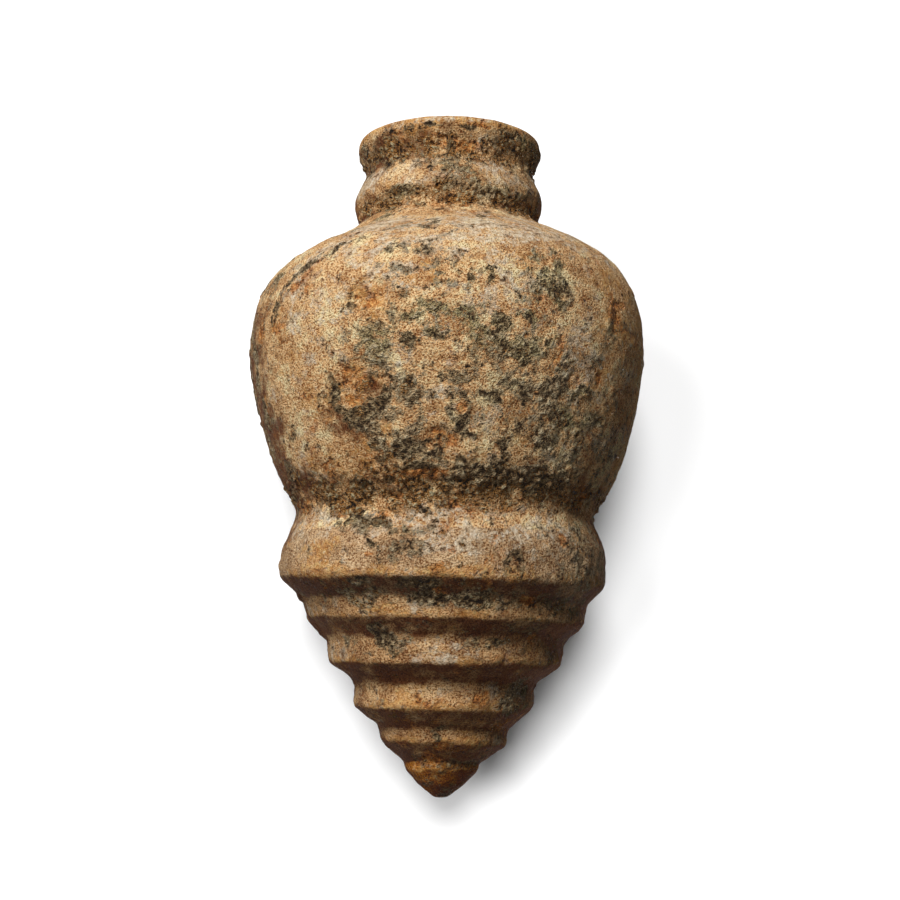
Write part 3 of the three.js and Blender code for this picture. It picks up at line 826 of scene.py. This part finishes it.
def corner_map(rows, closed, start_pole, end_pole):
    """The section's own map: the share of the turn across, and up the length round its profile, with a
    millimetre of margin for the fans at its ends."""
    step = np.linalg.norm(np.diff(rows, axis=0), axis=-1).mean(1)
    if closed:
        step = np.append(step, np.linalg.norm(rows[-1] - rows[0], axis=-1).mean())
    up = np.concatenate(([0], np.cumsum(step)))
    up = (up + 1) / (up[-1] + 2)
    left = np.arange(COLUMNS) / COLUMNS
    right = left + 1 / COLUMNS
    near, far = np.tile(left, len(step)), np.tile(right, len(step))
    low, high = np.repeat(up[:-1], COLUMNS), np.repeat(up[1:], COLUMNS)
    maps = [np.stack((near, low, far, low, far, high, near, high), axis=-1).ravel()]

    def add_fan(near, far, pole_at, edge_at):
        pole, edge = np.full(COLUMNS, pole_at), np.full(COLUMNS, edge_at)
        maps.append(np.stack(((near + far) / 2, pole, near, edge, far, edge), axis=-1).ravel())

    if start_pole is not None:
        add_fan(right, left, 0.0, up[0])
    if end_pole is not None:
        add_fan(left, right, 1.0, up[-1])
    return np.concatenate(maps)


def clay_mesh(name, points, quads, fans):
    """A mesh of quads followed by triangles, with smooth faces."""
    mesh = bpy.data.meshes.new(name)
    mesh.vertices.add(len(points))
    mesh.vertices.foreach_set("co", to_world(points).astype(np.float32).ravel())
    loops = np.concatenate((quads.ravel(), fans.ravel()))
    mesh.loops.add(len(loops))
    mesh.loops.foreach_set("vertex_index", loops.astype(np.int32))
    starts = np.concatenate((np.arange(len(quads)) * 4, len(quads) * 4 + np.arange(len(fans)) * 3))
    mesh.polygons.add(len(starts))
    mesh.polygons.foreach_set("loop_start", starts.astype(np.int32))
    mesh.update(calc_edges=True)
    mesh.polygons.foreach_set("use_smooth", np.ones(len(starts), bool))
    return mesh


def make_section(index):
    """One section as a mesh with its own map, layer fields and the whole skin's normals."""
    rows, numbers, start_pole, end_pole = section_rows(index)
    closed = start_pole is None and end_pole is None
    poles = [pole[None] for pole in (start_pole, end_pole) if pole is not None]
    points = np.concatenate([rows.reshape(-1, 3)] + poles)
    quads, fans = face_table(len(rows), closed, start_pole, end_pole)
    mesh = clay_mesh(f"{NAMES[index]}_clay", points, quads, fans)
    layer = mesh.uv_layers.new(name=UV_NAME)
    layer.uv.foreach_set("vector", corner_map(rows, closed, start_pole, end_pole).astype(np.float32))

    is_skin = numbers >= 0
    for label, values in FIELDS.items():
        own = np.zeros((len(rows), COLUMNS), np.float32)
        own[is_skin] = values[numbers[is_skin]]
        flat = np.concatenate((own.ravel(), np.zeros(len(poles), np.float32)))
        mesh.attributes.new(label, "FLOAT", "POINT").data.foreach_set("value", flat)
    corners = corner_normals(points, quads, fans, numbers, closed)
    mesh.normals_split_custom_set(to_world(corners, offset=False).astype(np.float32))
    piece = bpy.data.objects.new(mesh.name, mesh)
    bpy.context.scene.collection.objects.link(piece)
    return piece


# Finishes

def colour(red, green, blue):
    """A colour from its three screen levels, 0 to 255, as the linear values that a shader takes."""
    levels = np.array((red, green, blue)) / 255
    linear = np.where(levels <= 0.04045, levels / 12.92, ((levels + 0.055) / 1.055) ** 2.4)
    return (*linear, 1.0)


class Wiring:
    """Adds nodes to one tree. What is given to a socket is either another node's output or a value."""

    def __init__(self, tree):
        self.tree = tree

    def feed(self, socket, value):
        if isinstance(value, bpy.types.NodeSocket):
            self.tree.links.new(value, socket)
        else:
            socket.default_value = value

    def node(self, kind, inputs=None, **settings):
        node = self.tree.nodes.new(kind)
        for key, value in settings.items():
            setattr(node, key, value)
        for key, value in (inputs or {}).items():
            self.feed(node.inputs[key], value)
        return node

    def maths(self, operation, *values):
        inputs = dict(enumerate(values))
        return self.node("ShaderNodeMath", inputs, operation=operation).outputs[0]

    def noise(self, vector, scale, detail=2, roughness=0.6):
        """Noise about 0 with a spread of about 1. The node's own output lies about one half, and each
        further layer of detail evens it out."""
        inputs = {"Vector": vector, "Scale": scale, "Detail": detail, "Roughness": roughness}
        value = self.node("ShaderNodeTexNoise", inputs).outputs[0]
        layers = [roughness ** k for k in range(detail + 1)]
        spread = NODE_NOISE_SPREAD * math.sqrt(sum(v * v for v in layers)) / sum(layers)
        return self.maths("DIVIDE", self.maths("SUBTRACT", value, 0.5), spread)

    def lumps(self, vector, scale, share=0.6):
        """Round lumps of one size, a share of them broken up by noise: about 0 with a spread of about 1,
        and largest on the tops."""
        inputs = {"Vector": vector, "Scale": scale, "Randomness": 1.0}
        away = self.node("ShaderNodeTexVoronoi", inputs).outputs["Distance"]
        domes = self.maths("DIVIDE", self.maths("SUBTRACT", 0.5, away), DOME_SPREAD)
        rough = self.maths("MULTIPLY", self.noise(vector, 1.7 * scale, 2, 0.75), math.sqrt(1 - share ** 2))
        return self.maths("ADD", self.maths("MULTIPLY", domes, share), rough)

    def step(self, value, low, high):
        """0 below low and 1 above high, joined smoothly; low may be the larger, which turns it round."""
        inputs = {"Value": value, "From Min": low, "From Max": high}
        return self.node("ShaderNodeMapRange", inputs, interpolation_type="SMOOTHSTEP").outputs[0]

    def blend(self, share, first, second, mode="MIX"):
        node = self.node("ShaderNodeMix", data_type="RGBA", blend_type=mode)
        for index, value in ((0, share), (6, first), (7, second)):
            self.feed(node.inputs[index], value)
        return node.outputs[2]

    def group(self, tree, **inputs):
        node = self.node("ShaderNodeGroup", node_tree=tree)
        for key, value in inputs.items():
            self.feed(node.inputs[key.replace("_", " ")], value)
        return node.outputs


NODE_NOISE_SPREAD = 0.125  # standard deviation of one layer of the noise node's output
DOME_SPREAD = 0.17  # standard deviation of the cell node's distance to the nearest point
SOCKETS = {"color": "NodeSocketColor", "value": "NodeSocketFloat", "vector": "NodeSocketVector"}


def shader_group(name, inputs, outputs):
    """A node group with named sockets, each given as (name, kind). Gives its wiring, inputs and results."""
    tree = bpy.data.node_groups.new(name, "ShaderNodeTree")
    for side, sockets in (("INPUT", inputs), ("OUTPUT", outputs)):
        for label, kind in sockets:
            tree.interface.new_socket(label, in_out=side, socket_type=SOCKETS[kind])
    wiring = Wiring(tree)
    given = tree.nodes.new("NodeGroupInput").outputs
    result = tree.nodes.new("NodeGroupOutput").inputs
    return wiring, given, result


# Tint of the painted shade in the pits between sand grains
PIT_SHADE_TINT = colour(146, 116, 84)


def sand_group():
    """Sandy clay: a mottled tone between dark, middle and light, and grains that stand out, with painted
    shade in the pits between them and tops that are paler grains with a painted highlight."""
    inputs = [
        ("Vector", "vector"), ("Dark", "color"), ("Middle", "color"), ("Light", "color"),
        ("Grain", "value"),
    ]
    w, given, result = shader_group("Sandy clay", inputs, [("Color", "color"), ("Height", "value")])
    vector = given["Vector"]
    mottle = w.noise(vector, 150, 6, 0.75)
    grain = w.noise(vector, 2500, 2, 0.75)
    tone = w.blend(w.step(mottle, -1.8, 0.2), given["Dark"], given["Middle"])
    tone = w.blend(w.step(mottle, 0.2, 2.2), tone, given["Light"])
    # Painted shade in the pits between the grains
    pit_shade = w.step(grain, 0.0, -1.6)
    tone = w.blend(pit_shade, tone, w.blend(1.0, tone, PIT_SHADE_TINT, "MULTIPLY"))
    # The grains' tops: paler sand with a painted highlight
    tops = w.maths("MULTIPLY", w.step(grain, 0.1, 1.6), 0.95)
    tone = w.blend(tops, tone, w.blend(0.5, tone, given["Light"], "SCREEN"))
    w.feed(result["Color"], tone)
    w.feed(result["Height"], w.maths("MULTIPLY", grain, given["Grain"]))
    return w.tree


def coat_group():
    """A dry deposit over what lies below. Its field gives how densely its crumbs lie, from none well below
    one half to nearly closed above it. Its lumps stand out, with painted shade between them and a painted
    highlight on top."""
    inputs = [
        ("Color", "color"), ("Height", "value"), ("Field", "value"), ("Vector", "vector"),
        ("Dark", "color"), ("Middle", "color"), ("Light", "color"),
        ("Crumble", "value"), ("Density", "value"), ("Rise", "value"), ("Grain", "value"),
    ]
    outputs = [("Color", "color"), ("Height", "value"), ("Cover", "value")]
    w, given, result = shader_group("Dry deposit", inputs, outputs)
    vector = given["Vector"]
    crumbs = w.noise(vector, 320, 6, 0.8)
    lumps = w.lumps(vector, 740)
    shifted = w.maths("MULTIPLY", crumbs, given["Crumble"])
    cover = w.step(w.maths("ADD", given["Field"], shifted), 0.34, 0.66)
    cover = w.maths("MULTIPLY", cover, given["Density"])
    # Painted shade between the lumps in the Dark tone and a painted highlight on their tops in the Light
    # tone
    tone = w.blend(w.step(lumps, -1.8, -0.1), given["Dark"], given["Middle"])
    tone = w.blend(w.step(lumps, 0.1, 2.0), tone, given["Light"])
    rise = w.maths("ADD", given["Rise"], w.maths("MULTIPLY", lumps, given["Grain"]))
    rise = w.maths("MULTIPLY", cover, rise)
    w.feed(result["Color"], w.blend(cover, given["Color"], tone))
    w.feed(result["Height"], w.maths("ADD", given["Height"], rise))
    w.feed(result["Cover"], cover)
    return w.tree


def film_group():
    """A thin film, here soil with painted shade on the ring undersides, in the hollows and along the edges:
    it tints what lies below, more where its field is high.
    """
    inputs = [
        ("Color", "color"), ("Field", "value"), ("Vector", "vector"),
        ("Tint", "color"), ("Strength", "value"),
    ]
    w, given, result = shader_group("Thin film", inputs, [("Color", "color")])
    cloud = w.noise(given["Vector"], 330, 4, 0.65)
    shifted = w.maths("ADD", given["Field"], w.maths("MULTIPLY", cloud, 0.08))
    cover = w.maths("MULTIPLY", w.step(shifted, 0.2, 0.8), given["Strength"])
    tinted = w.blend(1.0, given["Color"], given["Tint"], "MULTIPLY")
    w.feed(result["Color"], w.blend(cover, given["Color"], tinted))
    return w.tree


SAND, COAT, SOIL_AND_SHADE_FILM = sand_group(), coat_group(), film_group()

# In each deposit, Dark is painted shade between its lumps and Light a painted highlight on their tops;
# Middle, or for the crust its grey and green, is the deposit's own tone
CRUST = {
    "Dark": colour(74, 54, 30), "Light": colour(240, 222, 182),
    "Crumble": 0.14, "Density": 0.85, "Rise": 0.06, "Grain": 0.38,
}
CRUST_GREY, CRUST_GREEN = colour(184, 158, 120), colour(176, 162, 112)
RUST = {
    "Dark": colour(110, 58, 20), "Middle": colour(202, 124, 58), "Light": colour(248, 190, 116),
    "Crumble": 0.13, "Density": 0.85, "Rise": -0.03, "Grain": 0.12,
}
# The soot also carries the painted shade in the hollows and creases
SOOT_AND_HOLLOW_SHADE = {
    "Dark": colour(44, 29, 13), "Middle": colour(112, 88, 58), "Light": colour(196, 168, 124),
    "Crumble": 0.15, "Density": 0.88, "Rise": -0.02, "Grain": 0.15,
}
GRIT = {
    "Dark": colour(20, 10, 3), "Middle": colour(204, 142, 74), "Light": colour(255, 236, 186),
    "Crumble": 0.14, "Density": 0.9, "Rise": -0.02, "Grain": 0.7,
}
PALE = {
    "Dark": colour(168, 142, 112), "Middle": colour(228, 206, 174), "Light": colour(253, 242, 220),
    "Crumble": 0.18, "Density": 0.75, "Rise": 0.0, "Grain": 0.02,
}
OCHRE = {
    "Dark": colour(168, 104, 44), "Middle": colour(222, 160, 88), "Light": colour(246, 204, 132),
    "Crumble": 0.14, "Density": 0.65, "Rise": 0.0, "Grain": 0.02,
}


COATS = {"ochre": OCHRE, "pale": PALE, "rust": RUST, "crust": CRUST, "soot": SOOT_AND_HOLLOW_SHADE, "grit": GRIT}
SAND_RELIEF = 0.05  # in millimetres
# Tint of the film of soil, which is also the painted shade on the ring undersides, in the hollows and along
# the edges
SOIL_AND_SHADE_TINT, SOIL_AND_SHADE_STRENGTH = colour(114, 68, 28), 0.9


def clay_material(name, dark, middle, light):
    """Fired clay of three tones under its layers, the lowest first. The soil film, partly painted shade,
    lies over the pale bloom.
    """
    material = bpy.data.materials.new(name)
    material.use_nodes = True
    tree = material.node_tree
    tree.nodes.clear()
    w = Wiring(tree)
    place = w.node("ShaderNodeTexCoord").outputs["Object"]

    def layer(label):
        return w.node("ShaderNodeAttribute", attribute_type="GEOMETRY", attribute_name=label).outputs["Fac"]

    sand = w.group(SAND, Vector=place, Dark=dark, Middle=middle, Light=light, Grain=SAND_RELIEF)
    tone, height = sand["Color"], sand["Height"]
    for label, values in COATS.items():
        own = dict(values)
        if label == "crust":
            own["Middle"] = w.blend(w.step(layer("green"), 0.2, 0.9), CRUST_GREY, CRUST_GREEN)
        coat = w.group(COAT, Color=tone, Height=height, Field=layer(label), Vector=place, **own)
        tone, height = coat["Color"], coat["Height"]
        if label == "pale":
            # The film of soil and painted shade
            soil = w.group(
                SOIL_AND_SHADE_FILM, Color=tone, Field=layer("soil"), Vector=place, Tint=SOIL_AND_SHADE_TINT, Strength=SOIL_AND_SHADE_STRENGTH,
            )
            tone = soil["Color"]
    bump = w.node("ShaderNodeBump", {"Height": height, "Distance": MM, "Strength": 1.0}).outputs[0]
    shader = w.node("ShaderNodeBsdfPrincipled", {
        "Base Color": tone, "Roughness": 0.9, "Specular IOR Level": 0.2, "Normal": bump,
    })
    w.node("ShaderNodeOutputMaterial", {"Surface": shader.outputs[0]})
    return material


BODY_TONES = colour(188, 132, 80), colour(238, 186, 128), colour(255, 228, 172)
BAND_TONES = colour(152, 114, 76), colour(198, 156, 112), colour(234, 196, 150)
FOOT_TONES = colour(160, 112, 70), colour(208, 158, 106), colour(240, 196, 142)
NECK_TONES = colour(168, 118, 72), colour(224, 174, 118), colour(252, 216, 162)
TIP_TONES = colour(132, 68, 18), colour(194, 116, 38), colour(228, 158, 70)
FINISHES = {
    "tip_clay": clay_material("Orange-brown clay of the tip", *TIP_TONES),
    "foot_clay": clay_material("Brown clay of the rings", *FOOT_TONES),
    "band_clay": clay_material("Pale clay of the band", *BAND_TONES),
    "waist_clay": clay_material("Gritty clay of the waist", *BODY_TONES),
    "body_clay": clay_material("Ochre clay of the body", *BODY_TONES),
    "neck_clay": clay_material("Dark clay of the neck", *NECK_TONES),
}


def slot_of(name):
    """The material slot of a section: the body's, unless the first word of its name has one of its own."""
    part = {"tip": "tip", "foot": "foot", "flared": "band", "waist": "waist", "neck": "neck"}
    return part.get(name.split("_")[0], "body") + "_clay"


for index, name in enumerate(NAMES):
    piece = make_section(index)
    piece.data.materials.append(FINISHES[slot_of(name)])
    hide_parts(name)
    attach(piece, "root")
    slot_of(name)


# Camera: over the flask, a little towards its tip, and rolled so that the mouth leans right
# Places are in the vessel's frame

FOCAL_PIXELS = 1314.4
IMAGE_PIXELS = 900
CAMERA_DISTANCE = 300.0
CAMERA_HEIGHT_ON_AXIS = 37.469
AIM_HEIGHT_ON_AXIS = 77.411
CAMERA_SIDESTEP = 0.99
ROLL = math.radians(0.62)
FILM_WIDTH = 36
NEAREST_SEEN = 0.01  # in metres


def make_camera():
    """A camera that looks along its sight line, with its right side square to the axis and then rolled."""
    sight = bpy.data.cameras.new("camera")
    sight.sensor_width = FILM_WIDTH
    sight.lens = FOCAL_PIXELS / IMAGE_PIXELS * FILM_WIDTH
    sight.clip_start = NEAREST_SEEN
    eye = bpy.data.objects.new("camera", sight)
    place = world_point(CAMERA_SIDESTEP, CAMERA_HEIGHT_ON_AXIS, CAMERA_DISTANCE)
    aim = world_point(CAMERA_SIDESTEP, AIM_HEIGHT_ON_AXIS, 0)
    forward = (aim - place).normalized()
    right = forward.cross(AXIS).normalized()
    up = right.cross(forward)
    c, s = math.cos(ROLL), math.sin(ROLL)
    right, up = right * c + up * s, up * c - right * s
    turned = Matrix((right, up, -forward)).transposed().to_4x4()
    eye.matrix_world = Matrix.Translation(place) @ turned
    bpy.context.scene.collection.objects.link(eye)
    bpy.context.scene.camera = eye


make_camera()


# Studio: a white floor, a soft key and a weak fill on the flask, and three suns for the floor's shade
# Lamps come from directions in the vessel's frame. Their sizes and distances are in metres

KEY_FROM, KEY_LEVEL = (-0.31, 0.585, 0.745), 1.15
FILL_FROM, FILL_LEVEL = (-0.5, -0.4, 0.77), 0.1
FLOOR_LAMPS = (((-0.05, 0.1, 1), 0.19), ((-0.05, 0.4, 1), 0.71), ((-0.55, 0.1, 1), 0.36))
FLOOR_LAMP_ANGLE = math.radians(20)
WORLD_LEVEL = 0.03
LAMP_DISTANCE = 0.9
LAMP_SIZE = 0.35
LAMP_AIM_HEIGHT = 85
FLOOR_HALF = 4.0
FLOOR_WHITE = 0.9
FLOOR_SEEN = (FLOOR_WHITE, FLOOR_WHITE, FLOOR_WHITE, 1)
FLOOR_GLOW = (0.04, 0.038, 0.036, 1)  # how pale the floor is for the light that it throws on the flask


def vessel_direction(across, height, depth):
    """A unit direction in the model's frame from one in the vessel's."""
    return (ACROSS * across + AXIS * height + TOWARDS * depth).normalized()


def light_object(name, data, direction, distance, lit):
    """A lamp that shines on the middle of the flask from that direction, and lights one collection only."""
    lamp = bpy.data.objects.new(name, data)
    lamp.location = world_point(0, LAMP_AIM_HEIGHT, 0) + direction * distance
    lamp.rotation_mode = "QUATERNION"
    lamp.rotation_quaternion = (-direction).to_track_quat("-Z", "Y")
    bpy.context.scene.collection.objects.link(lamp)
    lamp.light_linking.receiver_collection = lit


def disk_lamp(name, level, direction, lit):
    """A round soft lamp that makes a white surface facing it, at the flask, look as pale as the level."""
    light = bpy.data.lights.new(name, "AREA")
    light.shape = "DISK"
    light.size = LAMP_SIZE
    light.energy = level * math.pi ** 2 * LAMP_DISTANCE ** 2
    light_object(name, light, vessel_direction(*direction), LAMP_DISTANCE, lit)


def sun_lamp(name, level, direction, lit):
    """A soft sun whose light on the floor, by itself, makes the floor look as pale as the level."""
    light = bpy.data.lights.new(name, "SUN")
    light.angle = FLOOR_LAMP_ANGLE
    turned = vessel_direction(*direction)
    light.energy = level * math.pi / (FLOOR_WHITE * turned.z)
    light_object(name, light, turned, 1.0, lit)


def seen_directly(w):
    """1 for rays from the camera, or that mirror or pass through the object, and 0 for the others."""
    rays = w.node("ShaderNodeLightPath").outputs
    mirrored = w.maths("MAXIMUM", rays["Is Glossy Ray"], rays["Is Transmission Ray"])
    return w.maths("MAXIMUM", rays["Is Camera Ray"], mirrored)


def make_floor():
    """A square floor at height 0, white where it is seen directly."""
    corners = [(x * FLOOR_HALF, y * FLOOR_HALF, 0) for x, y in ((-1, -1), (1, -1), (1, 1), (-1, 1))]
    mesh = bpy.data.meshes.new("floor")
    mesh.from_pydata(corners, [], [(0, 1, 2, 3)])
    floor = bpy.data.objects.new("floor", mesh)
    bpy.context.scene.collection.objects.link(floor)
    material = bpy.data.materials.new("White floor")
    material.use_nodes = True
    tree = material.node_tree
    tree.nodes.clear()
    w = Wiring(tree)
    tone = w.blend(seen_directly(w), FLOOR_GLOW, FLOOR_SEEN)
    shader = w.node("ShaderNodeBsdfDiffuse", {"Color": tone})
    w.node("ShaderNodeOutputMaterial", {"Surface": shader.outputs[0]})
    mesh.materials.append(material)
    floor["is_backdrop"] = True
    return floor


def make_lights(floor):
    """The key and the fill light only the flask, and the suns only the floor."""
    flask_side = bpy.data.collections.new("lit by the key and the fill")
    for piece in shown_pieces():
        flask_side.objects.link(piece)
    floor_side = bpy.data.collections.new("lit by the floor lamps")
    floor_side.objects.link(floor)
    disk_lamp("key", KEY_LEVEL, KEY_FROM, flask_side)
    disk_lamp("fill", FILL_LEVEL, FILL_FROM, flask_side)
    for number, (direction, level) in enumerate(FLOOR_LAMPS, 1):
        sun_lamp(f"floor_lamp_{number}", level, direction, floor_side)


def make_world():
    """A dim even light all round, and white where it is seen directly."""
    world = bpy.data.worlds.new("studio")
    bpy.context.scene.world = world
    world.use_nodes = True
    tree = world.node_tree
    tree.nodes.clear()
    w = Wiring(tree)
    level = w.node("ShaderNodeMapRange", {"Value": seen_directly(w), "To Min": WORLD_LEVEL}).outputs[0]
    background = w.node("ShaderNodeBackground", {"Color": (1, 1, 1, 1), "Strength": level})
    w.node("ShaderNodeOutputWorld", {"Surface": background.outputs[0]})


make_lights(make_floor())
make_world()
bpy.context.scene.view_settings.view_transform = "Standard"
